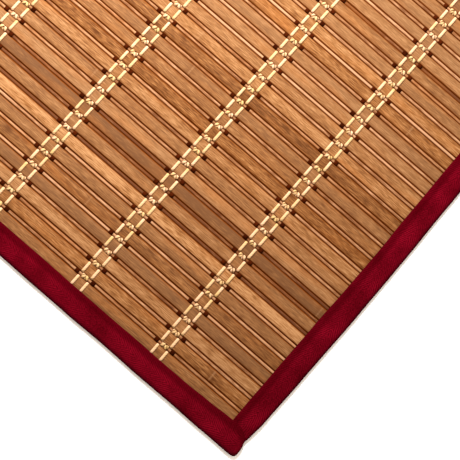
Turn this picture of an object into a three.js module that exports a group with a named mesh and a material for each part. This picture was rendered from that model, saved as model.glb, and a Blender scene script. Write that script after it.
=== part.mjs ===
// Bamboo floor rug with a crimson cloth binding, lying flat.
// Millimetres, +Z up. The slats run along X, the warp cords along Y, and the underside lies on z = 0.
import * as THREE from "three";
import { mergeVertices } from "three/addons/utils/BufferGeometryUtils.js";

// Plan of the rug.
const END_STICK_Y = 445.2;
const PITCH_COUNT = 67;
const PITCH = (2 * END_STICK_Y) / PITCH_COUNT;
const SLAT_HALF_LENGTH = 305.7;
// Middles of the bands of cord along X: the outer ones lie closer together.
const BAND_MIDDLES = [-213.2, -132.4, -44.6, 44.6, 132.4, 213.2];

// Sections of the split bamboo: wide crowned slats with a thin round stick between each two.
const SLAT_WIDTH = 0.7 * PITCH;
const STICK_WIDTH = 0.195 * PITCH;
const BAMBOO_BOTTOM = 1.7;
const SLAT_SHOULDER = 3.75;
const SLAT_CROWN = 4.05;
const STICK_TOP = 4.0;
const WEB_BOTTOM = 2.5;
const WEB_TOP = 3.1;
const CORNER_ROUND = 0.3;
// No two pieces are quite alike: each differs in height and width by up to this much.
const SLAT_UNEVENNESS = 0.16;
const STICK_HEIGHT_SEED = 90;
const SLAT_WIDTH_SEED = 40;

// Warp cords of one band, measured from the middle of the band.
const CREAM_CORD_OFFSET = 0.34 * PITCH;
const MIDDLE_CORD_OFFSET = 0.11 * PITCH;
const BROWN_CORD_OFFSET = 0.595 * PITCH;
const BAND_HALF_WIDTH = 0.705 * PITCH;
const CORD_HALF_WIDTH = 1.0;
const CORD_ROOT = 0.45;
const UNDER_RUN_TOP = 1.4;
const OVER_RUN_BOTTOM = 4.4;
const CORD_RUN_HALF_LENGTH = 429.3;
// Height of the cords over a wide slat, over a thin stick, and where they dive under the binding.
const OVER_RUN_HEIGHTS = {
  slat: { cream: 5.55, middle: 4.65 },
  stick: { cream: 4.8, middle: 5.65 },
  end: { cream: 5.3, middle: 4.65 },
};

// Cloth binding, folded over the edge, with the slats' ends in the pocket between its two layers.
const EDGE_WALL = 2.2;
const POCKET_BOTTOM = 1.4;
const POCKET_TOP = 4.4;
const BINDING_MIDDLE = 2.9;
const CLOSED_END_POCKET = 0.6;
// Its section: how far each point lies in from the outer fold, from the inner lip or at the pocket's end.
const BINDING_PROFILE = [
  { edge: "lip", inset: 0.5, z: 0 },
  { edge: "fold", inset: 2.6, z: 0 },
  { edge: "fold", inset: 0.7, z: 0.8 },
  { edge: "fold", inset: 0, z: 2.7 },
  { edge: "fold", inset: 0.7, z: 4.5 },
  { edge: "fold", inset: 2.8, z: 5.45 },
  { edge: "fold", inset: 7.4, z: 5.8 },
  { edge: "lip", inset: 6.6, z: 5.7 },
  { edge: "lip", inset: 1.2, z: 5.25 },
  { edge: "lip", inset: 0, z: 4.85 },
  { edge: "lip", inset: 0, z: POCKET_TOP },
  { edge: "pocket", inset: 0, z: POCKET_TOP },
  { edge: "pocket", inset: 0, z: POCKET_BOTTOM },
  { edge: "lip", inset: 0, z: POCKET_BOTTOM },
  { edge: "lip", inset: 0, z: 0.5 },
];

// Edges of the end binding along X: y of the outer and inner edge as distances from the middle of the rug.
const END_BINDING = [
  { along: -309.0, outer: 446.0, inner: 431.5, fullness: 0.62, open: false },
  { along: -308.0, outer: 448.3, inner: 428.5, fullness: 0.88, open: false },
  { along: -306.5, outer: 449.2, inner: 427.6, fullness: 1, open: false },
  { along: -306.0, outer: 449.2, inner: 427.6, fullness: 1, open: true },
  { along: -287.3, outer: 448.8, inner: 428.1, fullness: 1, open: true },
  { along: -266.3, outer: 449.3, inner: 429.1, fullness: 1, open: true },
  { along: -243.3, outer: 449.0, inner: 429.9, fullness: 1, open: true },
  { along: -145.0, outer: 449.3, inner: 430.1, fullness: 1, open: true },
  { along: -40.0, outer: 449.6, inner: 429.7, fullness: 1, open: true },
  { along: 81.3, outer: 449.3, inner: 429.7, fullness: 1, open: true },
  { along: 191.3, outer: 449.0, inner: 429.9, fullness: 1, open: true },
  { along: 243.3, outer: 449.1, inner: 429.8, fullness: 1, open: true },
  { along: 267.3, outer: 449.4, inner: 428.9, fullness: 1, open: true },
  { along: 287.3, outer: 448.9, inner: 428.0, fullness: 1, open: true },
  { along: 306.0, outer: 449.1, inner: 427.6, fullness: 1, open: true },
  { along: 306.5, outer: 449.1, inner: 427.6, fullness: 1, open: false },
  { along: 308.0, outer: 448.3, inner: 428.4, fullness: 0.88, open: false },
  { along: 309.0, outer: 446.2, inner: 431.4, fullness: 0.62, open: false },
];

// Edges of the side binding along Y: it bows out by a millimetre or two between the corners.
const SIDE_BINDING = [
  { along: -427.2, outer: 309.3, inner: 290.2, fullness: 1, open: true },
  { along: -413.0, outer: 309.9, inner: 290.3, fullness: 1, open: true },
  { along: -372.0, outer: 310.9, inner: 290.5, fullness: 1, open: true },
  { along: -330.0, outer: 311.5, inner: 290.9, fullness: 1, open: true },
  { along: -296.0, outer: 311.9, inner: 291.6, fullness: 1, open: true },
  { along: -252.0, outer: 311.8, inner: 291.9, fullness: 1, open: true },
  { along: -205.0, outer: 311.2, inner: 291.1, fullness: 1, open: true },
  { along: -100.0, outer: 310.7, inner: 290.7, fullness: 1, open: true },
  { along: 0.0, outer: 311.4, inner: 291.1, fullness: 1, open: true },
  { along: 110.0, outer: 312.0, inner: 291.6, fullness: 1, open: true },
  { along: 210.0, outer: 311.2, inner: 290.9, fullness: 1, open: true },
  { along: 300.0, outer: 311.7, inner: 291.5, fullness: 1, open: true },
  { along: 380.0, outer: 311.1, inner: 291.0, fullness: 1, open: true },
  { along: 427.2, outer: 309.4, inner: 290.3, fullness: 1, open: true },
];

const rug = new THREE.Group();
const bamboo = { color: 0xb07c4c, roughness: 0.5, metalness: 0 };
const creamCord = { color: 0xe6cf98, roughness: 0.8, metalness: 0 };
const bindingCloth = { color: 0x6e0718, roughness: 0.9, metalness: 0 };

function addPiece(name, geometry, finish) {
  const mesh = new THREE.Mesh(geometry, new THREE.MeshStandardMaterial(finish));
  mesh.name = name;
  rug.add(mesh);
  return mesh;
}

// A closed body that joins equal rings of [x, y, z] points and caps both ends.
// capPlane names the two coordinates in which a ring is drawn flat.
function loftRings(rings, capPlane) {
  const count = rings[0].length;
  const [first, second] = capPlane;
  const triangles = [];
  for (let r = 0; r + 1 < rings.length; r++) {
    for (let i = 0; i < count; i++) {
      const next = (i + 1) % count;
      const here = r * count;
      const there = here + count;
      triangles.push([here + i, here + next, there + next]);
      triangles.push([here + i, there + next, there + i]);
    }
  }
  for (const ring of [0, rings.length - 1]) {
    const outline = rings[ring].map((p) => new THREE.Vector2(p[first], p[second]));
    const asDrawn = THREE.ShapeUtils.isClockWise(outline) === (ring === 0);
    for (const [a, b, c] of THREE.ShapeUtils.triangulateShape(outline, [])) {
      const cap = asDrawn ? [a, b, c] : [a, c, b];
      triangles.push(cap.map((i) => ring * count + i));
    }
  }
  const geometry = new THREE.BufferGeometry();
  const points = new Float32Array(rings.flat(2));
  geometry.setAttribute("position", new THREE.BufferAttribute(points, 3));
  geometry.setIndex(triangles.flat());
  return facingOut(geometry);
}

// Turns every triangle round if the body's signed volume is negative.
function facingOut(geometry) {
  const index = geometry.getIndex().array;
  const position = geometry.getAttribute("position");
  const corners = [new THREE.Vector3(), new THREE.Vector3(), new THREE.Vector3()];
  let volume = 0;
  for (let t = 0; t < index.length; t += 3) {
    corners.forEach((corner, i) => corner.fromBufferAttribute(position, index[t + i]));
    volume += corners[0].dot(corners[1].cross(corners[2]));
  }
  if (volume < 0) {
    for (let t = 0; t < index.length; t += 3) {
      [index[t + 1], index[t + 2]] = [index[t + 2], index[t + 1]];
    }
  }
  geometry.computeVertexNormals();
  return geometry;
}

// Extrudes an outline drawn in the plane of two axes along the third, centred on the origin.
function extrudeAlong(outline, length, acrossAxis, upAxis, alongAxis) {
  const shape = new THREE.Shape(outline.map(([a, b]) => new THREE.Vector2(a, b)));
  const extruded = new THREE.ExtrudeGeometry(shape, { depth: length, bevelEnabled: false });
  extruded.translate(0, 0, -length / 2);
  extruded.applyMatrix4(new THREE.Matrix4().makeBasis(acrossAxis, upAxis, alongAxis));
  extruded.deleteAttribute("normal");
  extruded.deleteAttribute("uv");
  return facingOut(mergeVertices(extruded));
}

// A small repeatable variation from piece to piece, between -1 and 1.
function variation(number) {
  return Math.sin(number * 12.9898 + 4.1) * Math.cos(number * 3.31);
}

// Outline of one slat or stick, as its upper and its lower points from left to right.
function bambooOutline(middle, width, shoulder, crown) {
  const half = width / 2;
  const flat = half - CORNER_ROUND;
  const top = [
    [middle - half, WEB_TOP],
    [middle - flat, shoulder],
    [middle + flat, shoulder],
    [middle + half, WEB_TOP],
  ];
  if (crown > shoulder) {
    top.splice(2, 0, [middle, crown]);
  }
  const bottom = [
    [middle - half, WEB_BOTTOM],
    [middle - flat, BAMBOO_BOTTOM],
    [middle + flat, BAMBOO_BOTTOM],
    [middle + half, WEB_BOTTOM],
  ];
  return { top, bottom };
}

// All slats and sticks side by side, held as one ribbed sheet by a thin web in the gaps.
function makeSlatField() {
  const top = [];
  const bottom = [];
  for (let k = 0; k <= PITCH_COUNT; k++) {
    const stickY = k * PITCH - (PITCH_COUNT * PITCH) / 2;
    const stickTop = STICK_TOP + SLAT_UNEVENNESS * Math.min(0, variation(k + STICK_HEIGHT_SEED));
    const pieces = [bambooOutline(stickY, STICK_WIDTH, stickTop, stickTop)];
    if (k < PITCH_COUNT) {
      const lift = SLAT_UNEVENNESS * Math.min(0, variation(k));
      const width = SLAT_WIDTH + SLAT_UNEVENNESS * variation(k + SLAT_WIDTH_SEED);
      pieces.push(bambooOutline(stickY + PITCH / 2, width, SLAT_SHOULDER + lift, SLAT_CROWN + lift));
    }
    for (const piece of pieces) {
      top.push(...piece.top);
      bottom.push(...piece.bottom);
    }
  }
  const along = new THREE.Vector3(1, 0, 0);
  const across = new THREE.Vector3(0, 1, 0);
  const up = new THREE.Vector3(0, 0, 1);
  return extrudeAlong([...bottom, ...top.reverse()], 2 * SLAT_HALF_LENGTH, across, up, along);
}

// The cords' run over the slats: two cream rails that rise over each slat,
// and between them a pair of cords that rises over each stick.
function makeOverRun() {
  const rows = [{ y: -CORD_RUN_HALF_LENGTH, heights: OVER_RUN_HEIGHTS.end }];
  for (let half = 1; half < 2 * PITCH_COUNT; half++) {
    const y = (half - PITCH_COUNT) * (PITCH / 2);
    const heights = half % 2 ? OVER_RUN_HEIGHTS.slat : OVER_RUN_HEIGHTS.stick;
    if (Math.abs(y) < CORD_RUN_HALF_LENGTH - CORD_HALF_WIDTH) {
      rows.push({ y, heights });
    }
  }
  rows.push({ y: CORD_RUN_HALF_LENGTH, heights: OVER_RUN_HEIGHTS.end });
  const rings = rows.map(({ y, heights }) => [
    [-BAND_HALF_WIDTH, y, OVER_RUN_BOTTOM],
    [BAND_HALF_WIDTH, y, OVER_RUN_BOTTOM],
    [CREAM_CORD_OFFSET, y, heights.cream],
    [0, y, heights.middle],
    [-CREAM_CORD_OFFSET, y, heights.cream],
  ]);
  return loftRings(rings, [0, 2]);
}

// The cords' run under the slats: six flat-bottomed ridges joined by a thin root.
function makeUnderRun() {
  const outline = [[BAND_HALF_WIDTH, UNDER_RUN_TOP], [-BAND_HALF_WIDTH, UNDER_RUN_TOP]];
  const offsets = [BROWN_CORD_OFFSET, CREAM_CORD_OFFSET, MIDDLE_CORD_OFFSET];
  const cords = [...offsets.map((offset) => -offset), ...offsets.reverse()];
  for (const middle of cords) {
    outline.push([middle - CORD_HALF_WIDTH, CORD_ROOT]);
    outline.push([middle - CORD_HALF_WIDTH / 2, 0]);
    outline.push([middle + CORD_HALF_WIDTH / 2, 0]);
    outline.push([middle + CORD_HALF_WIDTH, CORD_ROOT]);
  }
  const along = new THREE.Vector3(0, -1, 0);
  const across = new THREE.Vector3(1, 0, 0);
  const up = new THREE.Vector3(0, 0, 1);
  return extrudeAlong(outline, 2 * CORD_RUN_HALF_LENGTH, across, up, along);
}

// One section of the folded binding, as [distance from the rug's middle, z] points.
function bindingSection({ outer, inner, fullness, open }) {
  const pocketEnd = open ? outer - EDGE_WALL : inner + CLOSED_END_POCKET;
  return BINDING_PROFILE.map(({ edge, inset, z }) => {
    const place = { fold: outer - inset, lip: inner + inset, pocket: pocketEnd }[edge];
    return [place, BINDING_MIDDLE + (z - BINDING_MIDDLE) * fullness];
  });
}

function makeEndBinding() {
  const rings = END_BINDING.map((row) =>
    bindingSection(row).map(([fromMiddle, z]) => [row.along, -fromMiddle, z]),
  );
  return loftRings(rings, [1, 2]);
}

function makeSideBinding() {
  const rings = SIDE_BINDING.map((row) =>
    bindingSection(row).map(([fromMiddle, z]) => [fromMiddle, row.along, z]),
  );
  return loftRings(rings, [2, 0]);
}

addPiece("slat_field", makeSlatField(), bamboo);

BAND_MIDDLES.forEach((middle, i) => {
  addPiece(`cord_band_${i + 1}_over`, makeOverRun(), creamCord).position.x = middle;
  addPiece(`cord_band_${i + 1}_under`, makeUnderRun(), creamCord).position.x = middle;
});

addPiece("end_binding_near", makeEndBinding(), bindingCloth);
addPiece("end_binding_far", makeEndBinding(), bindingCloth).rotation.z = Math.PI;
addPiece("side_binding_right", makeSideBinding(), bindingCloth);
addPiece("side_binding_left", makeSideBinding(), bindingCloth).rotation.z = Math.PI;

export default rug;
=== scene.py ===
# %% [markdown]
# Bamboo rug
#
# A bamboo rug is a mat of split slats and round sticks, laid side by side and held by bands of warp cord.
# A strip of twill cloth is folded over its edges. This lesson builds each of those pieces as a surface
# worked out in numpy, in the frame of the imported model, and gives each one a procedural finish. The
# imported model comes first, because every piece below has to fit inside it.

# %% Load the frame
import math
import bpy
import numpy as np
from mathutils import Matrix, Vector


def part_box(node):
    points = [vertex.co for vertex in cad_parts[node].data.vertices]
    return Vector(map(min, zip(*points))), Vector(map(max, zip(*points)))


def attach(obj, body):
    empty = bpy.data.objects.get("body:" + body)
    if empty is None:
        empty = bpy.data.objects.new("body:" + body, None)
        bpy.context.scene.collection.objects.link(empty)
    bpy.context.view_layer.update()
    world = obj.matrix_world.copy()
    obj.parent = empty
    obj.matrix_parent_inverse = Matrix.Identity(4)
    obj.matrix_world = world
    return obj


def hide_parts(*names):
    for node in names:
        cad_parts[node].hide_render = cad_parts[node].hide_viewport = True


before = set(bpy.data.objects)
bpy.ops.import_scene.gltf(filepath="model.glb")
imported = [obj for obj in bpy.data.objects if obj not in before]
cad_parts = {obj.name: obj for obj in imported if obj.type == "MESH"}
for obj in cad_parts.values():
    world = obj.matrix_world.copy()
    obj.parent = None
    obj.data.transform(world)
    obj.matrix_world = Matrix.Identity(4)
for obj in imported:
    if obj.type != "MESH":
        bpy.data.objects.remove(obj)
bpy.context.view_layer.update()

# %% [markdown]
# The weave repeats every pitch: one thin stick, a gap, one wide slat, a gap. The first and the last stick
# lie inside the end bindings. All sizes are real ones, written in millimetres times MM, because Blender
# works in metres. A seeded generator makes the unevenness of bamboo, so every run gives the same rug.

# %% Sizes of the weave
MM = 0.001
SEED = 7
PITCHES = 67
END_STICK_Y = 445.2 * MM
PITCH = 2 * END_STICK_Y / PITCHES
BAND_X = np.array([-213.2, -132.4, -44.6, 44.6, 132.4, 213.2]) * MM
STRIP_HALF_LENGTH = 305.4 * MM

stick_y = (np.arange(PITCHES + 1) - PITCHES / 2) * PITCH
slat_y = (stick_y[:-1] + stick_y[1:]) / 2
random = np.random.default_rng(SEED)
field_low, field_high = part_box("slat_field")
print("pitch in mm:", round(PITCH / MM, 3))
print("field in mm:", [round(v / MM, 1) for v in field_high - field_low])

# %% [markdown]
# The camera looks almost straight down on one corner, tilted by about twelve degrees, through a long
# lens, so that the bands of cord hardly converge. Its place was worked out from where the brown cords
# cross the sticks. It is made first, because it doesn't depend on the pieces.

# %% Camera
CAMERA_PLACE = Vector((209.95, -651.73, 1546.78)) * MM
CAMERA_AIM = Vector((192.61, -315.27, 0)) * MM
CAMERA_UP = Vector((-0.6547, 0.7371, 0.1677))
CAMERA_LENS_MM = 158.7
CAMERA_SENSOR_MM = 36
CAMERA_SEES_FROM, CAMERA_SEES_TO = 0.05, 20

forward = (CAMERA_AIM - CAMERA_PLACE).normalized()
right = forward.cross(CAMERA_UP).normalized()
up = right.cross(forward)
camera_data = bpy.data.cameras.new("camera")
camera_data.lens = CAMERA_LENS_MM
camera_data.sensor_width = CAMERA_SENSOR_MM
camera_data.clip_start = CAMERA_SEES_FROM
camera_data.clip_end = CAMERA_SEES_TO
camera = bpy.data.objects.new("camera", camera_data)
camera_turn = Matrix((right, up, -forward)).transposed().to_4x4()
camera.matrix_world = Matrix.Translation(CAMERA_PLACE) @ camera_turn
bpy.context.collection.objects.link(camera)
bpy.context.scene.camera = camera
print("camera tilt in degrees:", round(math.degrees(math.acos(-forward.z)), 1))

# %% [markdown]
# Slats, sticks, cords and bindings are all sections carried along a path. One helper turns an array of
# such sections into a closed mesh: quads between neighbouring sections and one face over each end. Many
# tubes go into one mesh, because a rug has 135 strips of bamboo, and separate objects would only slow
# Blender down. The UV map holds metres along the piece and round it, so a finish keeps its real scale.

# %% Helper: closed tubes from sections
def signed_volume(points, quads):
    """The sum over the quads of first corner dot (diagonal cross diagonal): above 0 if they face out."""
    points = points.reshape(-1, 3)
    a, b, c, d = (points[quads.reshape(-1, 4)[:, i]] for i in range(4))
    return float(np.einsum("ij,ij->i", a - points.mean(axis=0), np.cross(c - a, d - b)).sum())


def tubes(name, sections, along, **marks):
    """sections[t, s, k] is point k of section s of tube t. Quad (s, k) joins points k and k + 1 of
    sections s and s + 1, and the two end sections close each tube. along[t, s] is the distance along the
    tube for u, v is the distance round the section. Each mark is a number for every point, kept as an
    attribute. The quads are shaded smooth and the closing faces flat."""
    count, stations, ring = sections.shape[:3]
    index = np.arange(count * stations * ring).reshape(count, stations, ring)
    after = np.roll(index, -1, axis=2)
    quads = np.stack([index[:, :-1], after[:, :-1], after[:, 1:], index[:, 1:]], axis=-1)
    caps = np.concatenate([index[:, 0, ::-1], index[:, -1]])
    step = np.linalg.norm(np.roll(sections, -1, axis=2) - sections, axis=-1)
    edge = np.concatenate([np.zeros((count, stations, 1)), np.cumsum(step, axis=2)], axis=2)
    uv = np.stack(np.broadcast_arrays(along[:, :, None], edge), axis=-1)
    corner = np.stack([uv[:, :-1, :-1], uv[:, :-1, 1:], uv[:, 1:, 1:], uv[:, 1:, :-1]], axis=-2)
    cap_uv = np.concatenate([uv[:, 0, :-1][:, ::-1], uv[:, -1, :-1]])
    if signed_volume(sections[0], quads[0] - index[0, 0, 0]) < 0:
        quads, caps = quads[..., ::-1], caps[..., ::-1]
        corner, cap_uv = corner[..., ::-1, :], cap_uv[..., ::-1, :]
    mesh = bpy.data.meshes.new(name)
    mesh.from_pydata(sections.reshape(-1, 3), [], quads.reshape(-1, 4).tolist() + caps.tolist())
    layer = mesh.uv_layers.new(name="metres")
    layer.data.foreach_set("uv", np.concatenate([corner.reshape(-1), cap_uv.reshape(-1)]))
    for mark, values in marks.items():
        attribute = mesh.attributes.new(mark, "FLOAT", "POINT")
        attribute.data.foreach_set("value", np.broadcast_to(values, (count, stations, ring)).reshape(-1))
    mesh.polygons.foreach_set("use_smooth", np.arange(len(mesh.polygons)) < quads.size // 4)
    piece = bpy.data.objects.new(name, mesh)
    bpy.context.collection.objects.link(piece)
    mesh.calc_loop_triangles()
    print(name, "has", count, "tubes and", len(mesh.loop_triangles), "triangles")
    return piece

# %% [markdown]
# Nothing in the rug is quite straight or quite even, and its pieces are pressed or tucked in by degrees.
# These two small formulas, a wandering line and a soft step, serve all of them.

# %% Helpers: wandering lines and soft steps
def wander(count, places, lengths, size):
    """A smooth uneven line for each piece: the sum of one sine wave for each wavelength in lengths, with
    a phase and a strength from 0.3 to 1 drawn for each piece. places is (number,) or (count, number)."""
    waves = np.array(lengths)[None, :, None]
    phase = random.uniform(0, 2 * math.pi, (count, len(lengths), 1))
    strength = random.uniform(0.3, 1, (count, len(lengths), 1))
    places = np.broadcast_to(places, (count, np.shape(places)[-1]))[:, None]
    return size * (strength * np.sin(2 * math.pi * places / waves + phase)).sum(axis=1) / len(lengths)


def soft_step(distance, start, length):
    """t squared times (3 - 2 t), where t is the share of the length that lies past the start."""
    t = np.clip((distance - start) / length, 0, 1)
    return t * t * (3 - 2 * t)

# %% [markdown]
# Slats and sticks are both strips along X, so one helper makes them. A section is drawn once, and its
# width, height and middle then wander along each strip. Where the stem had a node, the strip has a low
# ring. Sections are set evenly along the strip, with more of them close to each node.

# %% Helper: strips of bamboo
EVEN_STATIONS = 37
NODE_STATIONS = np.array([-9, -4.5, -2.2, -0.9, 0, 0.9, 2.2, 4.5, 9]) * MM
NODE_LENGTH = 3 * MM
NODE_RISE = 0.13 * MM
NODE_FARTHEST = 290 * MM
SWAY_WAVES = (0.61, 0.23, 0.09)
WIDTH_WAVES = (0.37, 0.12, 0.05)
WIDTH_WANDER = 0.02
HEIGHT_WAVES = (0.43, 0.15)
HEIGHT_WANDER = 0.08 * MM
FIBRE_SHIFT = 2.0


def bamboo_strips(middles, section, half_width, bottom, top, sway, nodes):
    """Strips along X. Point k of a section lies at middle + half width times across[k] in Y, and at
    bottom + height times up[k] in Z. Half width, height and middle wander along the strip, and each node
    adds a low bell, exp(-(distance / length) squared), to the height. Also gives the place along the
    strip, shifted from strip to strip, and the distance to the nearest node at every station."""
    count = len(middles)
    even = np.tile(np.linspace(-STRIP_HALF_LENGTH, STRIP_HALF_LENGTH, EVEN_STATIONS), (count, 1))
    close = (nodes[:, :, None] + NODE_STATIONS).reshape(count, -1)
    x = np.sort(np.concatenate([even, close], axis=1), axis=1)
    distance = np.abs(x[:, None] - nodes[:, :, None])
    bell = np.exp(-((distance / NODE_LENGTH) ** 2)).sum(axis=1)
    middle = middles[:, None] + wander(count, x, SWAY_WAVES, sway)
    width = half_width * (1 + wander(count, x, WIDTH_WAVES, WIDTH_WANDER))
    rise = (top - bottom)[:, None] + wander(count, x, HEIGHT_WAVES, HEIGHT_WANDER) + NODE_RISE * bell
    y = middle[..., None] + width[..., None] * section[:, 0]
    z = bottom[:, None, None] + rise[..., None] * section[:, 1]
    points = np.stack([np.broadcast_to(x[..., None], y.shape), y, z], axis=-1)
    return points, x + FIBRE_SHIFT * np.arange(count)[:, None], distance.min(axis=1)[..., None]

# %% [markdown]
# A wide slat is a strip split from a bamboo stem. Its face is a little crowned, its long edges are eased,
# and it is widest low down, where it nearly touches the stick beside it. Half of its section is written
# down, and the other half is its mirror image. Most slats are much the same in tone, but about one in
# five is browner, from an older stem. Those near the corner are the ones that look brown in the picture.

# %% Wide slats
SLAT_BOTTOM = 1.7 * MM
SLAT_TOP = 4.05 * MM
SLAT_HALF_WIDTH = 0.348 * PITCH
SLAT_SWAY = 0.08 * MM
SLAT_SINK = 0.12 * MM
SLAT_HALF_SECTION = np.array([
    # across, up, and how dark painted shade makes that part, most on the sides that face the gaps
    (0.98, 0.0, 0.2), (1.15, 0.12, 1), (1.15, 0.42, 1), (1.02, 0.74, 0.95), (0.968, 0.88, 0.7),
    (0.90, 0.945, 0.1), (0.5, 0.985, 0), (0.0, 1.0, 0),
])
SLAT_NODE_NEAREST = 20 * MM
SLAT_NODE_STRENGTH = 0.8
SLAT_TONE, SLAT_TONE_SPREAD = 0.57, 0.10
BROWN_SLATS = [1, 4, 5, 6, 9, 13, 16, 29, 32, 38, 45, 46, 52, 59, 63]
BROWN_SLAT_DROP = 0.36

mirrored = SLAT_HALF_SECTION * (-1, 1, 1)
slat_section = np.concatenate([mirrored[:1], SLAT_HALF_SECTION, mirrored[-2:0:-1]])
slat_nodes = random.uniform(SLAT_NODE_NEAREST, NODE_FARTHEST, (PITCHES, 2)) * [-1, 1]
slat_node_strength = random.uniform(0, SLAT_NODE_STRENGTH, (PITCHES, 1, 1)) ** 3
slat_tone = SLAT_TONE + SLAT_TONE_SPREAD * random.standard_normal(PITCHES)
slat_tone[BROWN_SLATS] -= BROWN_SLAT_DROP
slat_hue = random.uniform(0, 1, PITCHES)
slat_sink = random.uniform(0, SLAT_SINK, PITCHES)
slat_points, slat_along, slat_distance = bamboo_strips(
    slat_y, slat_section, SLAT_HALF_WIDTH, SLAT_BOTTOM - slat_sink, SLAT_TOP - slat_sink,
    SLAT_SWAY, slat_nodes)
wide_slats = tubes(
    "wide_slats", slat_points, slat_along, tone=slat_tone[:, None, None], hue=slat_hue[:, None, None],
    browned=slat_section[:, 2], from_node=slat_distance, node_strength=slat_node_strength)

# %% [markdown]
# Between each two wide slats lies a thin round stick. It is whittled by hand or drawn through a simple
# die, so it is never quite straight or quite round. A few sticks lie deeper, and their tone is darkened
# as painted shade; some are notably pale. Painted shade darkens their sides, where they face the gaps,
# but not the line along their top.

# %% Thin sticks
STICK_RADIUS = 1.42 * MM
STICK_SIDES = 12
STICK_BOTTOM = 1.2 * MM
STICK_TOP = 3.95 * MM
STICK_SWAY = 0.1 * MM
STICK_SINK = 0.25 * MM
STICK_TONE, STICK_TONE_SPREAD = 0.50, 0.09
PALE_STICKS = [5, 6, 7, 19, 20, 22, 23, 26, 34, 39, 40, 48, 53, 62]
PALE_STICK_RISE = 0.38
DARK_STICKS = [8, 9, 10, 25, 31, 36, 42, 43, 51, 56, 60, 65]
SUNK_STICK_SHADE_TONES = (-0.25, 0.1)
DARK_STICK_SINK = 0.55 * MM
STICK_HUE = 0.5
STICK_NODE_STRENGTH = 0.2

round_angle = np.arange(STICK_SIDES) * 2 * math.pi / STICK_SIDES
stick_up = 0.5 - 0.5 * np.cos(round_angle)
stick_section = np.stack([np.sin(round_angle), stick_up], axis=-1)
# Painted shade in full from about a fifth to three quarters of the height, and none at the top.
stick_sides_browned = np.clip((0.97 - stick_up) / 0.24, 0, 1) * np.clip((stick_up + 0.02) / 0.2, 0, 1)
stick_sink = random.uniform(0, STICK_SINK, PITCHES + 1)
stick_sink[DARK_STICKS] += DARK_STICK_SINK
stick_tone = STICK_TONE + STICK_TONE_SPREAD * random.standard_normal(PITCHES + 1)
stick_tone[PALE_STICKS] += PALE_STICK_RISE
# The sticks that lie deeper also get darker tones, painted shade for the shadow they lie in.
stick_tone[DARK_STICKS] = random.uniform(*SUNK_STICK_SHADE_TONES, len(DARK_STICKS))
stick_nodes = random.uniform(-NODE_FARTHEST, NODE_FARTHEST, (PITCHES + 1, 1))
stick_points, stick_along, stick_distance = bamboo_strips(
    stick_y, stick_section, STICK_RADIUS, np.full(PITCHES + 1, STICK_BOTTOM), STICK_TOP - stick_sink,
    STICK_SWAY, stick_nodes)
thin_sticks = tubes(
    "thin_sticks", stick_points, stick_along, tone=stick_tone[:, None, None], hue=STICK_HUE,
    browned=stick_sides_browned, from_node=stick_distance, node_strength=STICK_NODE_STRENGTH)

# %% [markdown]
# Six warp cords make a band, and each goes over one kind of strip and under the other. The outer cream
# cords lie over the wide slats as straight dashes. The middle pair and the dark brown cords lie over the
# thin sticks. A cord is a flattened tube along a path in Y and Z. The path is given for half a pitch as a
# short table, from the middle of the strip that the cord passes over to the middle of the one that it
# passes under.

# %% Paths of the warp cords
OVER_SLAT_PATH = np.array([
    # share of the pitch, height from 0 (under) to 1 (over), thickness
    (0.00, 1.00, 1.0), (0.16, 0.99, 1.0), (0.28, 0.95, 1.0), (0.325, 0.82, 0.9), (0.355, 0.60, 0.7),
    (0.385, 0.28, 0.7), (0.42, 0.06, 1.0), (0.50, 0.00, 1.0),
])
OVER_STICK_PATH = np.array([
    (0.00, 1.00, 1.0), (0.04, 0.98, 1.0), (0.075, 0.91, 1.0), (0.10, 0.78, 0.9), (0.122, 0.52, 0.75),
    (0.142, 0.22, 0.75), (0.18, 0.04, 1.0), (0.50, 0.00, 1.0),
])
CORD_END = 444 * MM
PRESS_START = 429 * MM
PRESS_LENGTH = 4 * MM
PRESSED_OVER = 4.5 * MM
PRESSED_UNDER = 1.3 * MM
PRESSED_THINNER = 0.35


def cord_path(table, crossings, over, under):
    """The table is mirrored about the strip's middle and repeated at each crossing, without its last row,
    which the next crossing gives again. Height h gives z = under + (over - under) h. Inside the bindings
    both levels ease towards the pressed ones by a soft step."""
    rows = np.concatenate([table[:0:-1] * (-1, 1, 1), table[:-1]])
    y = (crossings[:, None] + rows[:, 0] * PITCH).reshape(-1)
    height, thickness = (np.tile(rows[:, i], len(crossings)) for i in (1, 2))
    inside = np.abs(y) < CORD_END
    y, height, thickness = y[inside], height[inside], thickness[inside]
    press = soft_step(np.abs(y), PRESS_START, PRESS_LENGTH)
    high = over + (np.minimum(over, PRESSED_OVER) - over) * press
    low = under + (PRESSED_UNDER - under) * press
    return y, low + (high - low) * height, thickness * (1 - PRESSED_THINNER * press)

# %% [markdown]
# The middle pair is thick two-ply cord, and its plies show as slanted lumps over each stick. Its section
# has two lobes that turn along the cord, one cord to the left and the other to the right. The outer cords
# and the brown ones are flatter, with plain oval sections.

# %% Sections of the warp cords
TWIST_LENGTH = 8.3 * MM


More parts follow.
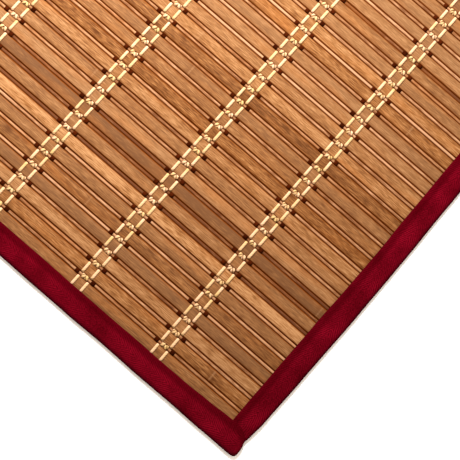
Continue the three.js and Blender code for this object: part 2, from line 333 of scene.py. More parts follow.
def cord_sections(x, path, half_width, half_height, twist, phase, sides):
    """A point of a section is (x + a cos(angle), path + b sin(angle) times the path's normal in Y and Z).
    a and b are the half width and half height times a two-ply outline, 1 - twist + twist |cos(angle -
    turn)|, whose turn grows evenly along the cord, so that the plies wind round each other. Also gives
    the length up to each section, and 1 on a ply and 0 in the groove between two."""
    y, z, thickness = path
    slope = np.stack([np.gradient(y), np.gradient(z)], axis=-1)
    slope /= np.linalg.norm(slope, axis=-1, keepdims=True)
    length = np.concatenate([[0], np.cumsum(np.hypot(np.diff(y), np.diff(z)))])
    angle = (np.arange(sides) * 2 * math.pi / sides)[None]
    turn = (phase + length[:, None] * (2 * math.pi / TWIST_LENGTH)) * np.sign(twist)
    lobes = np.abs(np.cos(angle - turn)) if twist else np.ones((len(y), sides))
    outline = 1 - abs(twist) + abs(twist) * lobes
    sideways = half_width * np.cos(angle) * outline
    upward = half_height * thickness[:, None] * np.sin(angle) * outline
    points = np.stack([
        x + sideways,
        y[:, None] - upward * slope[:, 1:],
        z[:, None] + upward * slope[:, :1],
    ], axis=-1)
    return points, length, lobes

# %% [markdown]
# The cords of one kind in a band come in pairs, left and right of its middle. They have the same number
# of sections, so a pair is one array and one mesh. Each band ends as two pieces, one of the cream cords
# and one of the brown ones, because they are yarns of different dye.

# %% Warp cords
CORDS = {
    # offset from the band's middle, half width, half height, level over, level under, twist, sides
    "outer": (0.345 * PITCH, 1.2 * MM, 0.5 * MM, 4.5 * MM, 0.75 * MM, 0.0, 8),
    "middle": (0.118 * PITCH, 1.8 * MM, 0.9 * MM, 4.4 * MM, 0.9 * MM, 0.54, 12),
    "brown": (0.6 * PITCH, 1.85 * MM, 0.65 * MM, 4.15 * MM, 0.75 * MM, 0.0, 8),
}
CORD_SWAY_WAVES = (0.31, 0.11, 0.04)
CORD_SWAY = 0.12 * MM


def cord_pair(name, kind, band_x):
    """Makes the two cords of one kind, left and right of the band's middle, as one piece."""
    offset, half_width, half_height, over, under, twist, sides = CORDS[kind]
    table, crossings = (OVER_SLAT_PATH, slat_y) if kind == "outer" else (OVER_STICK_PATH, stick_y)
    path = cord_path(table, crossings, over, under)
    pair = []
    for side in (-1, 1):
        sway = wander(1, path[0], CORD_SWAY_WAVES, CORD_SWAY)[0][:, None]
        pair.append(cord_sections(
            band_x + side * offset + sway, path, half_width, half_height, side * twist,
            random.uniform(0, math.pi), sides))
    points, length, lobes = (np.stack(column) for column in zip(*pair))
    print(name, "cord: length in mm:", round(length[0, -1] / MM, 1))
    return tubes(name, points, length + [[0], [1]], on_ply=lobes)


def join_pieces(name, parts):
    """Joins several objects into the first one, and gives it the name."""
    with bpy.context.temp_override(active_object=parts[0], selected_editable_objects=parts):
        bpy.ops.object.join()
    parts[0].name = parts[0].data.name = name
    return parts[0]


cream_bands, brown_bands = [], []
for number, band_x in enumerate(BAND_X, 1):
    halves = [cord_pair(f"cream_{kind}_{number}", kind, band_x) for kind in ("outer", "middle")]
    cream_bands.append(join_pieces(f"cream_cords_{number}", halves))
    brown_bands.append(cord_pair(f"brown_cords_{number}", "brown", band_x))

# %% [markdown]
# The binding is a strip of cotton twill folded over the edge, like bias tape. Its section is the strip's
# middle line, from the lower lip outwards, round the fold and back over the slats to the upper lip, given
# half the cloth's thickness to either side. The fold is puffy, and a shallow valley runs along the upper
# layer a third of the way in from its lip, where the raw edge is turned under.

# %% Section of a folded binding
CLOTH_HALF_THICKNESS = 0.42 * MM
FOLD_POINTS = 8
LAYER_POINTS = 13
FOLD_REACH = 3.2 * MM
FOLD_REACH_SHARE = 0.4
UPPER_SAG = 0.3 * MM
VALLEY_PLACE, VALLEY_WIDTH = 0.66, 0.09
VALLEY_DEPTH = 0.22 * MM
LIP_ROUNDNESS = 0.8


def smooth_table(table, column, places):
    """A soft curve through the table's rows: cosine steps between neighbouring rows."""
    known, values = table[:, 0], table[:, column]
    row = np.clip(np.searchsorted(known, places) - 1, 0, len(known) - 2)
    share = np.clip((places - known[row]) / (known[row + 1] - known[row]), 0, 1)
    share = 0.5 - 0.5 * np.cos(math.pi * share)
    return values[row] + (values[row + 1] - values[row]) * share


def binding_lines(outer, inner, low, high, lip_drop, fullness):
    """The middle line of the cloth at each station as (distance from the rug's middle, z) points. The
    lower layer is straight. The fold is half an ellipse. With t from 0 at the fold to 1 at the lip, the
    upper layer lies at high - sag (1 - t) cubed - drop t to the sixth power - valley exp(-((t - place) /
    width) squared)."""
    reach = np.minimum(FOLD_REACH, FOLD_REACH_SHARE * (outer - inner))
    t = np.linspace(0, 1, LAYER_POINTS)[None]
    start = (outer - reach - CLOTH_HALF_THICKNESS)[:, None]
    lower_u = inner[:, None] + (start - inner[:, None]) * t
    lower = np.stack([lower_u, np.broadcast_to(low[:, None], lower_u.shape)], axis=-1)
    angle = (np.linspace(-math.pi / 2, math.pi / 2, FOLD_POINTS + 2)[1:-1])[None]
    middle, half = ((high + low) / 2)[:, None], ((high - low) / 2)[:, None]
    fold_u = start + reach[:, None] * np.cos(angle)
    fold = np.stack([fold_u, middle + (half - UPPER_SAG) * np.sin(angle)], axis=-1)
    valley = VALLEY_DEPTH * np.exp(-(((t - VALLEY_PLACE) / VALLEY_WIDTH) ** 2)) * fullness[:, None]
    upper_z = high[:, None] - UPPER_SAG * (1 - t) ** 3 - lip_drop[:, None] * t ** 6 - valley
    upper_u = start + (inner[:, None] - start) * t
    return np.concatenate([lower, fold, np.stack([upper_u, upper_z], axis=-1)], axis=1)


def thicken(line, half_thickness):
    """Both faces of the cloth: the line plus and minus half the thickness along its normal, as one ring
    with a rounded lip at either end."""
    slope = np.gradient(line, axis=1)
    slope /= np.linalg.norm(slope, axis=-1, keepdims=True)
    half = half_thickness[:, None, None]
    normal = np.stack([slope[..., 1], -slope[..., 0]], axis=-1) * half
    first = line[:, :1] - LIP_ROUNDNESS * slope[:, :1] * half
    last = line[:, -1:] + LIP_ROUNDNESS * slope[:, -1:] * half
    return np.concatenate([first, line + normal, last, (line - normal)[:, ::-1]], axis=1)

# %% [markdown]
# The end bindings run through to the corners and lie over the ends of the side bindings. At the corner
# the cloth is folded in and pressed flat, which leaves a rounded tongue with a curved seam beside it. A
# hand-sewn edge is never quite straight. So two tables say where the fold and the inner lip run, and a
# soft curve joins their rows.

# %% Edges of the bindings
END_EDGES = np.array([
    # along X, outer fold, inner lip, all in mm from the rug's middle
    (-309.3, 446.3, 441.5), (-308.6, 447.9, 438.0), (-307.2, 448.8, 434.2), (-304.8, 449.2, 431.0),
    (-301.0, 449.2, 428.7), (-296, 449.0, 427.6), (-287.3, 448.8, 427.9), (-266.3, 449.3, 429.0),
    (-243.3, 449.0, 429.9), (-190, 449.3, 430.1), (-145, 449.2, 430.1), (-110, 449.5, 429.8),
    (-40, 449.5, 429.9), (10, 449.2, 429.7), (81.3, 449.3, 429.6), (140, 449.4, 429.9),
    (191.3, 449.0, 429.8), (215, 449.4, 429.9), (243.3, 449.0, 429.8), (267.3, 449.4, 428.8),
    (287.3, 448.9, 427.9), (296, 449.0, 427.4), (301.0, 449.1, 428.4), (304.8, 449.1, 430.8),
    (307.2, 448.7, 434.0), (308.6, 447.8, 438.0), (309.3, 446.3, 441.5),
]) * MM
SIDE_EDGES = np.array([
    # along Y, outer fold, inner lip, all in mm from the rug's middle
    (-437.5, 307.6, 290.2), (-427, 309.0, 290.2), (-413, 309.9, 290.3), (-372, 310.9, 290.5),
    (-330, 311.5, 290.9), (-296, 311.9, 291.6), (-252, 311.8, 291.9), (-205, 311.2, 291.1),
    (-150, 310.6, 290.8), (-100, 310.9, 290.7), (0, 311.4, 291.1), (60, 311.1, 291.4),
    (110, 312.0, 291.6), (210, 311.2, 290.9), (300, 311.7, 291.5), (380, 311.1, 291.0),
    (413, 310.1, 290.4), (427, 309.1, 290.3), (437.5, 307.6, 290.3),
]) * MM
print("rows in the tables of edges:", len(END_EDGES), "and", len(SIDE_EDGES))

# %% [markdown]
# One helper folds a strip along such a table. Low puckers, where the seam draws the cloth in, run across
# it, the two layers close on each other at its ends, and where it is tucked under another strip it is
# thinner and lower. It also measures the cloth, as a maker would before cutting it.

# %% Helper: one folded strip
BINDING_LOW = 0.45 * MM
BINDING_HIGH = 5.3 * MM
STATION_STEP = 3.2 * MM
TIP_STATIONS = np.array([0.25, 0.6, 1.1, 1.7, 2.4]) * MM
LIP_DROP = 0.62 * MM
PUCKER_WAVES = (0.019, 0.0131, 0.031)
PUCKER_SIZE = 0.2 * MM
RIPPLE_WAVES = (0.013, 0.021, 0.047)
RIPPLE_SIZE = 0.1 * MM
EDGE_WAVES = (0.083, 0.047)
EDGE_SWAY = 0.22 * MM
LIP_SWAY_SHARE = 0.6
TUCK_THINNER = 0.45
TUCK_PRESS = 0.72 * MM
FOLD_MARK_MIDDLE = 1 + LAYER_POINTS + 0.4 * FOLD_POINTS
FOLD_MARK_WIDTH = 2.2


def binding(name, table, tip_length, tucked, lip_lift, place):
    """One folded strip. tip_length says how far from its ends the two layers close on each other, tucked
    gives from 0 to 1 how far a station lies under another strip, lip_lift how much the upper lip rises,
    and place turns (along, from the middle, z) into a point. Gives the piece and the size of its flat
    cloth."""
    low_end, high_end = table[0, 0], table[-1, 0]
    even = np.linspace(low_end, high_end, int((high_end - low_end) / STATION_STEP) + 1)
    along = np.unique(np.concatenate([even, low_end + TIP_STATIONS, high_end - TIP_STATIONS]))
    outer, inner = (smooth_table(table, column, along) for column in (1, 2))
    from_end = np.minimum(along - low_end, high_end - along)
    closing = 1 - np.clip(from_end / tip_length, 0, 1)
    closing = 1 - np.sqrt(1 - closing ** 2)
    tuck = tucked(along)
    loose = (1 - closing) * (1 - tuck)
    pucker = wander(1, along, PUCKER_WAVES, PUCKER_SIZE)[0] * loose
    sway = wander(1, along, EDGE_WAVES, EDGE_SWAY)[0] * loose
    half_thickness = CLOTH_HALF_THICKNESS * (1 - TUCK_THINNER * tuck)
    middle = (BINDING_LOW + BINDING_HIGH) / 2
    low = BINDING_LOW + TUCK_PRESS * tuck
    high = BINDING_HIGH - TUCK_PRESS * tuck + pucker
    low = low + (middle - half_thickness - low) * closing
    high = high + (middle + half_thickness - high) * closing
    drop = (LIP_DROP - lip_lift(along)) * loose
    line = binding_lines(outer + sway, inner - LIP_SWAY_SHARE * sway, low, high, drop, loose)
    ripple = wander(line.shape[1], along, RIPPLE_WAVES, RIPPLE_SIZE).T
    line[..., 1] += ripple * (np.arange(line.shape[1]) > LAYER_POINTS) * loose[:, None]
    ring = thicken(line, half_thickness)
    sections = place(np.broadcast_to(along[:, None], ring.shape[:2]), ring[..., 0], ring[..., 1])
    place_in_ring = np.arange(ring.shape[1])
    fold_mark = np.exp(-(((place_in_ring - FOLD_MARK_MIDDLE) / FOLD_MARK_WIDTH) ** 2))
    lip_mark = np.clip((place_in_ring - LAYER_POINTS - FOLD_POINTS) / LAYER_POINTS, 0, 1)
    piece = tubes(name, sections[None], along[None], on_fold=fold_mark, to_lip=lip_mark)
    widths = np.linalg.norm(np.diff(line, axis=1), axis=-1).sum(axis=1) + 2 * CLOTH_HALF_THICKNESS
    developed = float(np.median(widths))
    print(name, "cloth cut in mm:", round(developed / MM, 1), "x", round((high_end - low_end) / MM, 1))
    return piece, (developed, float(high_end - low_end))

# %% [markdown]
# Four strips go round the rug. The upper lips of the end bindings rise a little over each cream cord that
# runs in under them, and the ends of the side bindings are tucked under the end bindings.

# %% The four bindings
END_TIP = 2.4 * MM
SIDE_TIP = 2.2 * MM
LIP_LIFT = 0.4 * MM
LIP_LIFT_WIDTH = 2.2 * MM
TUCK_START = 424.3 * MM
TUCK_LENGTH = 3 * MM


def lift_over_cords(x):
    """A low bell, exp(-(distance / width) squared), at each outer cream cord."""
    offset = CORDS["outer"][0]
    cords = np.concatenate([BAND_X - offset, BAND_X + offset])
    return LIP_LIFT * np.exp(-(((x[:, None] - cords) / LIP_LIFT_WIDTH) ** 2)).sum(axis=1)


def tucked_ends(y):
    """0 along the open run and 1 under the end binding."""
    return soft_step(np.abs(y), TUCK_START, TUCK_LENGTH)


bindings = {
    "end_binding_near": binding("near_binding", END_EDGES, END_TIP, np.zeros_like, lift_over_cords,
                                lambda a, m, z: np.stack([a, -m, z], axis=-1)),
    "end_binding_far": binding("far_binding", END_EDGES, END_TIP, np.zeros_like, lift_over_cords,
                               lambda a, m, z: np.stack([-a, m, z], axis=-1)),
    "side_binding_right": binding("right_binding", SIDE_EDGES, SIDE_TIP, tucked_ends, np.zeros_like,
                                  lambda a, m, z: np.stack([m, a, z], axis=-1)),
    "side_binding_left": binding("left_binding", SIDE_EDGES, SIDE_TIP, tucked_ends, np.zeros_like,
                                 lambda a, m, z: np.stack([-m, -a, z], axis=-1)),
}

# %% [markdown]
# Finishes are built from nodes. Small helpers add a node, set its values and link its inputs, so that
# each finish below reads as a list of steps. Three effects become node groups: the fibre of bamboo and
# the twist of a yarn, which two finishes each share, and the wales of twill.

# %% Helpers: shader nodes
def add(tree, kind, inputs=(), **settings):
    """Adds a node of that kind. settings are its properties, inputs are (socket, value or output)."""
    node = tree.nodes.new(kind)
    for name, value in settings.items():
        setattr(node, name, value)
    for socket, value in inputs:
        if isinstance(value, bpy.types.NodeSocket):
            tree.links.new(value, node.inputs[socket])
        else:
            node.inputs[socket].default_value = value
    return node


def calc(tree, operation, first, second=0.0, third=0.0):
    """One step of arithmetic on numbers."""
    inputs = [(0, first), (1, second), (2, third)]
    return add(tree, "ShaderNodeMath", inputs, operation=operation).outputs[0]


def rescale(tree, value, low, high, at_low=0.0, at_high=1.0):
    """Turns low to high evenly into at_low to at_high, and holds those two outside the range."""
    inputs = [(0, value), (1, low), (2, high), (3, at_low), (4, at_high)]
    return add(tree, "ShaderNodeMapRange", inputs).outputs[0]


def noise(tree, place, scale, detail):
    """Noise in a number from 0 to 1."""
    inputs = [("Vector", place), ("Scale", scale), ("Detail", detail)]
    return add(tree, "ShaderNodeTexNoise", inputs).outputs[0]


def mix_colours(tree, share, first, second):
    """first where the share is 0, second where it is 1."""
    return add(tree, "ShaderNodeMix", [(0, share), (6, first), (7, second)], data_type="RGBA").outputs[2]


def read_mark(tree, name):
    """A number that the mesh keeps for each of its points."""
    return add(tree, "ShaderNodeAttribute", attribute_name=name).outputs["Fac"]


def metres(tree):
    """The UV map, and its two numbers: metres along the piece and metres round it."""
    place = add(tree, "ShaderNodeUVMap", uv_map="metres").outputs[0]
    split = add(tree, "ShaderNodeSeparateXYZ", [(0, place)])
    return place, split.outputs[0], split.outputs[1]

# %% [markdown]
# A node group takes and gives only numbers here. Each finish puts its own numbers in, and turns what comes
# out into a colour and a bump. Every finish is one Principled shader, because the export reads that one.

# %% Helpers: groups and finishes
def new_group(name, takes, gives):
    """A shader node group that takes numbers and gives numbers: the group itself, the values that it takes
    and the sockets that it gives its results to."""
    group = bpy.data.node_groups.new(name, "ShaderNodeTree")
    for socket in takes:
        group.interface.new_socket(socket, in_out="INPUT", socket_type="NodeSocketFloat")
    for socket in gives:
        group.interface.new_socket(socket, in_out="OUTPUT", socket_type="NodeSocketFloat")
    return group, group.nodes.new("NodeGroupInput").outputs, group.nodes.new("NodeGroupOutput").inputs


def new_finish(name, roughness, specular):
    """An empty material: its node tree and its Principled shader, linked to the output."""
    material = bpy.data.materials.new(name)
    material.use_nodes = True
    tree = material.node_tree
    tree.nodes.clear()
    shader = tree.nodes.new("ShaderNodeBsdfPrincipled")
    shader.inputs["Roughness"].default_value = roughness
    shader.inputs["Specular IOR Level"].default_value = specular
    output = tree.nodes.new("ShaderNodeOutputMaterial")
    tree.links.new(shader.outputs[0], output.inputs[0])
    return material, tree, shader


def link_bump(tree, shader, height, strength, distance):
    """Lets a height bend the shader's normal."""
    inputs = [("Strength", strength), ("Distance", distance), ("Height", height)]
    tree.links.new(add(tree, "ShaderNodeBump", inputs).outputs[0], shader.inputs["Normal"])

# %% [markdown]
# Split bamboo shows long straight fibres, short dark flecks where vessels were cut, and slow drifts of
# colour along the strip. All of it is noise stretched along the strip. The UV map gives metres, and each
# strip starts two metres further along, so no two strips show the same fibres.

# %% Fibre of bamboo
FIBRE_NOISES = {
    # scale per metre along, scale per metre across, shift, detail
    "streak": (22.0, 1300.0, 0.0, 3.0),    # fine light and dark fibres
    "drift": (9.0, 260.0, 5.0, 2.0),       # a slow change of tone
    "patch": (48.0, 130.0, 9.0, 3.0),      # broad soft clouds
    "fleck": (150.0, 2200.0, 14.0, 1.0),   # short dark vessels
    "grain": (130.0, 1500.0, 20.0, 3.0),   # fine mottling
    "cloud": (14.0, 90.0, 27.0, 2.0),      # long soft clouds
}
DRIFT_STRENGTH = 0.8
GRAIN_STRENGTH = 2.0
FLECK_RANGE = (0.60, 0.72)


def fibre_group():
    """Inputs: the strip's tone, and how strongly streak and patch change it. Outputs: shade, the tone plus
    each effect's distance from one half times its strength; streak; fleck; cloud."""
    inputs = ("tone", "streak strength", "patch strength")
    group, taken, given = new_group("bamboo_fibre", inputs, ("shade", "streak", "fleck", "cloud"))
    along, across = metres(group)[1:]
    effects = {}
    for effect, (per_metre_along, per_metre_across, shift, detail) in FIBRE_NOISES.items():
        u = calc(group, "MULTIPLY", along, per_metre_along)
        v = calc(group, "MULTIPLY", across, per_metre_across)
        place = add(group, "ShaderNodeCombineXYZ", [(0, u), (1, v), (2, shift)]).outputs[0]
        effects[effect] = noise(group, place, scale=1.0, detail=detail)
    strengths = {
        "drift": DRIFT_STRENGTH, "patch": taken["patch strength"], "streak": taken["streak strength"],
        "grain": GRAIN_STRENGTH}
    shade = taken["tone"]
    for effect, strength in strengths.items():
        swing = calc(group, "SUBTRACT", effects[effect], 0.5)
        shade = calc(group, "MULTIPLY_ADD", swing, strength, shade)
    group.links.new(shade, given["shade"])
    group.links.new(effects["streak"], given["streak"])
    group.links.new(rescale(group, effects["fleck"], *FLECK_RANGE), given["fleck"])
    group.links.new(effects["cloud"], given["cloud"])
    return group


bamboo_fibre = fibre_group()
print("bamboo fibre is made of:", list(FIBRE_NOISES))

# %% [markdown]
# Slats and sticks share one way of colouring. The marks on the mesh say how light each strip is, where
# its nodes are, and where shade is painted on the sides that face the gaps. The rest comes from the fibre.

# %% Finish of slats and sticks
HUE_STRENGTH = 0.6
GLOW_RANGE, GLOW_STRENGTH = (0.52, 0.8), 0.4
GLOWING = (0.20, 0.072, 0.018, 1)
FLECK_STRENGTH = 0.4
NODE_RAGGEDNESS = 4 * MM
NODE_SPREAD = 1.8 * MM
NODE_MARKS = [
    # full up to, gone from, strength, colour: a dark halo and the pale scar in it
    (1.2 * MM, 5.5 * MM, 0.8, (0.060, 0.022, 0.007, 1)),
    (0.3 * MM, 1.2 * MM, 0.5, (0.27, 0.155, 0.080, 1)),
]
# Painted shade in the gaps: the sides of slats and sticks that face them go towards this colour.
PAINTED_GAP_SHADE_COLOUR = (0.090, 0.0215, 0.0012, 1)
PAINTED_GAP_SHADE_STRENGTH = 0.93


def bamboo_finish(name, dark, middle, light, grey, streak_strength, patch_strength):
    """Colour: a ramp from dark over middle to light, read at the fibre's shade. It is then turned towards
    grey by hue, warmed by clouds, darkened by flecks, marked at the nodes, and darkened by painted shade
    on the sides that face the gaps. Roughness: 0.4 plus a fifth of the streak."""
    material, tree, shader = new_finish(name, roughness=0.5, specular=0.01)
    fibre_inputs = [
        ("tone", read_mark(tree, "tone")), ("streak strength", streak_strength),
        ("patch strength", patch_strength)]
    fibre = add(tree, "ShaderNodeGroup", fibre_inputs, node_tree=bamboo_fibre).outputs
    ramp = add(tree, "ShaderNodeValToRGB", [(0, fibre["shade"])])
    ramp.color_ramp.elements[0].color = dark
    ramp.color_ramp.elements[1].color = light
    ramp.color_ramp.elements.new(0.5).color = middle
    greyed = calc(tree, "MULTIPLY", read_mark(tree, "hue"), HUE_STRENGTH)
    colour = mix_colours(tree, greyed, ramp.outputs[0], grey)
    glow = rescale(tree, fibre["cloud"], *GLOW_RANGE, 0.0, GLOW_STRENGTH)
    colour = mix_colours(tree, glow, colour, GLOWING)
    flecked = calc(tree, "MULTIPLY", fibre["fleck"], FLECK_STRENGTH)
    colour = mix_colours(tree, flecked, colour, dark)
    node_strength = read_mark(tree, "node_strength")
    from_node = calc(tree, "MULTIPLY_ADD", fibre["streak"], NODE_RAGGEDNESS, read_mark(tree, "from_node"))
    from_node = calc(tree, "SUBTRACT", from_node, NODE_SPREAD)
    for full, gone, strength, mark_colour in NODE_MARKS:
        share = calc(tree, "MULTIPLY", rescale(tree, from_node, full, gone, strength, 0.0), node_strength)
        colour = mix_colours(tree, share, colour, mark_colour)
    browned = calc(tree, "MULTIPLY", read_mark(tree, "browned"), PAINTED_GAP_SHADE_STRENGTH)
    tree.links.new(mix_colours(tree, browned, colour, PAINTED_GAP_SHADE_COLOUR), shader.inputs["Base Color"])
    tree.links.new(calc(tree, "MULTIPLY_ADD", fibre["streak"], 0.2, 0.4), shader.inputs["Roughness"])
    link_bump(tree, shader, fibre["streak"], strength=0.4, distance=0.3 * MM)
    return material


slat_finish = bamboo_finish(
    "split_bamboo", dark=(0.049, 0.0160, 0.0042, 1), middle=(0.135, 0.0580, 0.0190, 1),
    light=(0.238, 0.126, 0.057, 1), grey=(0.113, 0.0585, 0.0275, 1),
    streak_strength=0.6, patch_strength=0.6)
stick_finish = bamboo_finish(
    "round_bamboo", dark=(0.033, 0.0075, 0.002, 1), middle=(0.160, 0.075, 0.032, 1),
    light=(0.30, 0.17, 0.092, 1), grey=(0.14, 0.068, 0.034, 1),
    streak_strength=0.6, patch_strength=1.3)
print("bamboo finishes:", slat_finish.name, "and", stick_finish.name)

# %% [markdown]
# The cords are spun cotton. Close up, a yarn shows slanting stripes, where its plies wind round each
# other, and a matt, slightly fuzzy surface. A wave across the UV map, slanted against the cord, gives
# both the thin shadow between plies and the bump.

# %% Twist of a yarn
def twist_group():
    """Input: plies per metre. Output ply: 1 on the back of a ply and 0 in the groove between two,
    |sin(pi plies (u + v))|. Output fuzz: fine noise. Output stain: soft clouds."""
    group, taken, given = new_group("yarn_twist", ("plies per metre",), ("ply", "fuzz", "stain"))
    place, along, across = metres(group)
    rate = calc(group, "MULTIPLY", taken["plies per metre"], math.pi)
    turns = calc(group, "MULTIPLY", calc(group, "ADD", across, along), rate)
    group.links.new(calc(group, "ABSOLUTE", calc(group, "SINE", turns)), given["ply"])
    group.links.new(noise(group, place, scale=2200.0, detail=2.0), given["fuzz"])
    group.links.new(noise(group, place, scale=110.0, detail=2.0), given["stain"])
    return group


yarn_twist = twist_group()
print("yarn twist has:", [socket.name for socket in yarn_twist.interface.items_tree])

# %% [markdown]
# The cream yarn is a little stained, so it goes over to a second cream by soft clouds. The brown yarn is
# made the same way, with colours so dark that its plies hardly show.

# %% Finish of the cords
PLIES_PER_METRE = 560.0
PLY_STRENGTH = 0.35
LOBE_CONTRAST, LOBE_SHIFT = 2.4, -0.45
LOBE_SOFTNESS = 0.2
FUZZ_STRENGTH = 0.5
STAIN_RANGE = (0.4, 0.65)


def cord_finish(name, groove, back, stained):
    """Colour: from groove to back by the square root of the ply and by the cord's own lobes, a little
    uneven by the fuzz; the groove colour is painted shade between the plies and between the lobes. The
    back itself goes over to the stained colour by soft clouds."""
    material, tree, shader = new_finish(name, roughness=0.85, specular=0.0)
    twist_inputs = [("plies per metre", PLIES_PER_METRE)]
    twist = add(tree, "ShaderNodeGroup", twist_inputs, node_tree=yarn_twist).outputs
    soft_ply = calc(tree, "POWER", twist["ply"], 0.5)
    soft_ply = calc(tree, "MULTIPLY_ADD", soft_ply, PLY_STRENGTH, 1 - PLY_STRENGTH)
    lobes = calc(tree, "MULTIPLY_ADD", read_mark(tree, "on_ply"), LOBE_CONTRAST, LOBE_SHIFT)
    share = calc(tree, "MULTIPLY", soft_ply, calc(tree, "SMOOTH_MIN", lobes, 1.0, LOBE_SOFTNESS))
    uneven = calc(tree, "MULTIPLY_ADD", twist["fuzz"], FUZZ_STRENGTH, -FUZZ_STRENGTH / 2)
    share = calc(tree, "ADD", share, uneven)
    full = mix_colours(tree, rescale(tree, twist["stain"], *STAIN_RANGE), back, stained)
    tree.links.new(mix_colours(tree, share, groove, full), shader.inputs["Base Color"])
    height = calc(tree, "MULTIPLY_ADD", twist["fuzz"], 0.3, twist["ply"])
    link_bump(tree, shader, height, strength=0.5, distance=0.3 * MM)
    return material


cream_finish = cord_finish(
    "cream_cotton", groove=(0.075, 0.032, 0.009, 1), back=(0.395, 0.245, 0.145, 1),
    stained=(0.335, 0.215, 0.090, 1))
brown_finish = cord_finish(
    "brown_cotton", groove=(0.008, 0.0016, 0.0004, 1), back=(0.040, 0.0078, 0.0016, 1),
    stained=(0.022, 0.0042, 0.0009, 1))
print("cord finishes:", cream_finish.name, "and", brown_finish.name)

# %% [markdown]
# The binding is crimson cotton in a herringbone twill. Its wales are fine diagonal ridges that turn round
# every twelve millimetres. The distance round the strip is folded back and forth by a ping-pong, so that
# the slant of the wave changes sign between neighbouring stripes.

# %% Twill of the binding
STRIPE = 12 * MM
STRIPE_START = 32 * MM
WALE_SLANT = 2.0
WALE_BEND = 1.6


def twill_group():
    """Input: wales per metre. Output wale: a rounded ridge, 1/2 + 1/2 sin(2 pi wales (u + slant
    pingpong(v - start))), made uneven by noise. Output wear: soft clouds. Output thread: fine noise."""
    group, taken, given = new_group("herringbone_twill", ("wales per metre",), ("wale", "wear", "thread"))
    place, along, across = metres(group)
    folded = calc(group, "PINGPONG", calc(group, "SUBTRACT", across, STRIPE_START), STRIPE)
    slanted = calc(group, "MULTIPLY_ADD", folded, WALE_SLANT, along)
    bend = calc(group, "MULTIPLY", noise(group, place, scale=90.0, detail=2.0), WALE_BEND)
    turns = calc(group, "MULTIPLY_ADD", slanted, taken["wales per metre"], bend)
    wave = calc(group, "SINE", calc(group, "MULTIPLY", turns, 2 * math.pi))
    group.links.new(calc(group, "MULTIPLY_ADD", wave, 0.5, 0.5), given["wale"])
    group.links.new(noise(group, place, scale=45.0, detail=3.0), given["wear"])
    group.links.new(noise(group, place, scale=900.0, detail=2.0), given["thread"])
    return group


herringbone_twill = twill_group()
print("twill has:", [socket.name for socket in herringbone_twill.interface.items_tree])

# %% [markdown]
# The cloth is worn unevenly, so its wales show in some places and fade in others. Painted shade makes it
# darker near the lip, and almost black along the fold, where it turns away from the light.

# %% Finish of the bindings
WALES_PER_METRE = 300.0
CLOTH_GROOVE = (0.021, 0.0001, 0.0008, 1)
CLOTH_RIDGE = (0.138, 0.0032, 0.0115, 1)
# The next two colours are painted shade: near the lip, and along the fold.
CLOTH_PAINTED_LIP_SHADE = (0.024, 0.0001, 0.0012, 1)
CLOTH_ON_FOLD = (0.009, 0.0005, 0.0045, 1)
WALE_SHOWN = (0.08, 0.42)
WEAR_RANGE, WEAR_STRENGTH = (0.35, 0.65), 0.7
THREAD_STRENGTH = 0.9
PAINTED_LIP_SHADE_RANGE, PAINTED_LIP_SHADE_STRENGTH = (0.60, 0.78), 0.5
ON_FOLD_STRENGTH = 0.85


def cloth_finish():
    """Colour: from groove to ridge by the wales, which fade by patches, the wear and the threads, then
    towards a darker red near the lip and a purplish black along the fold, both painted shade."""
    material, tree, shader = new_finish("crimson_twill", roughness=0.85, specular=0.0)
    twill_inputs = [("wales per metre", WALES_PER_METRE)]
    twill = add(tree, "ShaderNodeGroup", twill_inputs, node_tree=herringbone_twill).outputs
    shown = rescale(tree, twill["wear"], *WEAR_RANGE, *WALE_SHOWN)
    wale = calc(tree, "MULTIPLY", calc(tree, "SUBTRACT", twill["wale"], 0.5), shown)
    share = calc(tree, "MULTIPLY_ADD", twill["wear"], WEAR_STRENGTH, wale)
    share = calc(tree, "SUBTRACT", share, THREAD_STRENGTH / 2)
    share = calc(tree, "MULTIPLY_ADD", twill["thread"], THREAD_STRENGTH, share)
    colour = mix_colours(tree, share, CLOTH_GROOVE, CLOTH_RIDGE)
    painted_lip_shade = rescale(tree, read_mark(tree, "to_lip"), *PAINTED_LIP_SHADE_RANGE, 0.0, PAINTED_LIP_SHADE_STRENGTH)
    colour = mix_colours(tree, painted_lip_shade, colour, CLOTH_PAINTED_LIP_SHADE)
    on_fold = calc(tree, "MULTIPLY", read_mark(tree, "on_fold"), ON_FOLD_STRENGTH)
    tree.links.new(mix_colours(tree, on_fold, colour, CLOTH_ON_FOLD), shader.inputs["Base Color"])
    height = calc(tree, "MULTIPLY_ADD", twill["thread"], 0.4, wale)
    link_bump(tree, shader, height, strength=0.7, distance=0.4 * MM)
    return material


crimson_finish = cloth_finish()
wale_width = 1 / WALES_PER_METRE / math.hypot(1, WALE_SLANT)
print("binding finish:", crimson_finish.name, "with wales", round(wale_width / MM, 1), "mm wide")

# %% [markdown]
# Each piece now gets its finish, rides on the model's one body, and hides the imported solids that it
# stands for.

# %% Finish and place every piece
def settle(piece, finish, slot, *nodes):
    """Gives a piece its finish and its place on the body, and counts its triangles. slot is not used."""
    piece.data.materials.append(finish)
    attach(piece, "root")
    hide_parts(*nodes)
    piece.data.calc_loop_triangles()
    return len(piece.data.loop_triangles)


triangles = settle(wide_slats, slat_finish, "bamboo_slats", "slat_field")
triangles += settle(thin_sticks, stick_finish, "bamboo_sticks", "slat_field")
for number, (cream, brown) in enumerate(zip(cream_bands, brown_bands), 1):
    band_nodes = (f"cord_band_{number}_over", f"cord_band_{number}_under")
    triangles += settle(cream, cream_finish, "cream_cord", *band_nodes)
    triangles += settle(brown, brown_finish, "brown_cord", *band_nodes)
for node, (piece, flat) in bindings.items():
    triangles += settle(piece, crimson_finish, "binding_cloth", node)
print("triangles in all:", triangles)

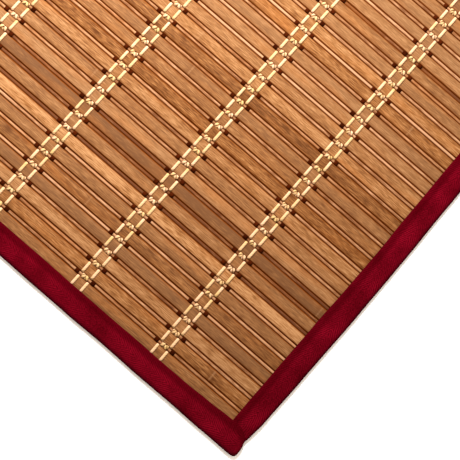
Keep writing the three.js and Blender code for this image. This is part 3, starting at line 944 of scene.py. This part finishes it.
# %% [markdown]
# The rug lies on a plain pale floor, which is only a stage and no part of it.

# %% Floor
FLOOR_HALF = 4.0
FLOOR_COLOUR = (0.94, 0.95, 0.97, 1)

floor_mesh = bpy.data.meshes.new("floor")
floor_corners = [(-1, -1), (1, -1), (1, 1), (-1, 1)]
floor_mesh.from_pydata([(FLOOR_HALF * x, FLOOR_HALF * y, 0) for x, y in floor_corners], [], [(0, 1, 2, 3)])
floor = bpy.data.objects.new("floor", floor_mesh)
bpy.context.collection.objects.link(floor)
floor_finish, _, floor_shader = new_finish("pale_floor", roughness=0.9, specular=0.0)
floor_shader.inputs["Base Color"].default_value = FLOOR_COLOUR
floor_mesh.materials.append(floor_finish)
print("floor is", 2 * FLOOR_HALF, "m wide")

# %% [markdown]
# A soft, slightly cool lamp hangs beyond the top of the view, near enough for its light to fall off
# across the picture. A pale warm sky fills the shadows. Places and widths are in metres.

# %% Light
LAMP_PLACE = Vector((-0.20, 0.03, 0.56))
LAMP_AIM = Vector((-0.14, -0.05, 0))
LAMP_WIDTH = 0.36
LAMP_WATTS = 23.2
LAMP_COLOUR = (0.97, 1.0, 1.08)
SKY_COLOUR = (1.0, 0.89, 0.76, 1)
SKY_STRENGTH = 0.94

lamp_data = bpy.data.lights.new("key", "AREA")
lamp_data.shape = "SQUARE"
lamp_data.size = LAMP_WIDTH
lamp_data.energy = LAMP_WATTS
lamp_data.color = LAMP_COLOUR
lamp = bpy.data.objects.new("key", lamp_data)
lamp.location = LAMP_PLACE
lamp.rotation_euler = (LAMP_AIM - LAMP_PLACE).to_track_quat("-Z", "Y").to_euler()
bpy.context.collection.objects.link(lamp)
world = bpy.data.worlds.new("studio")
world.use_nodes = True
sky = world.node_tree.nodes["Background"]
sky.inputs["Color"].default_value = SKY_COLOUR
sky.inputs["Strength"].default_value = SKY_STRENGTH
bpy.context.scene.world = world
bpy.context.scene.view_settings.view_transform = "Standard"
bpy.context.scene.view_settings.look = "Medium High Contrast"
print("lamp hangs", LAMP_PLACE.z, "m above the floor")
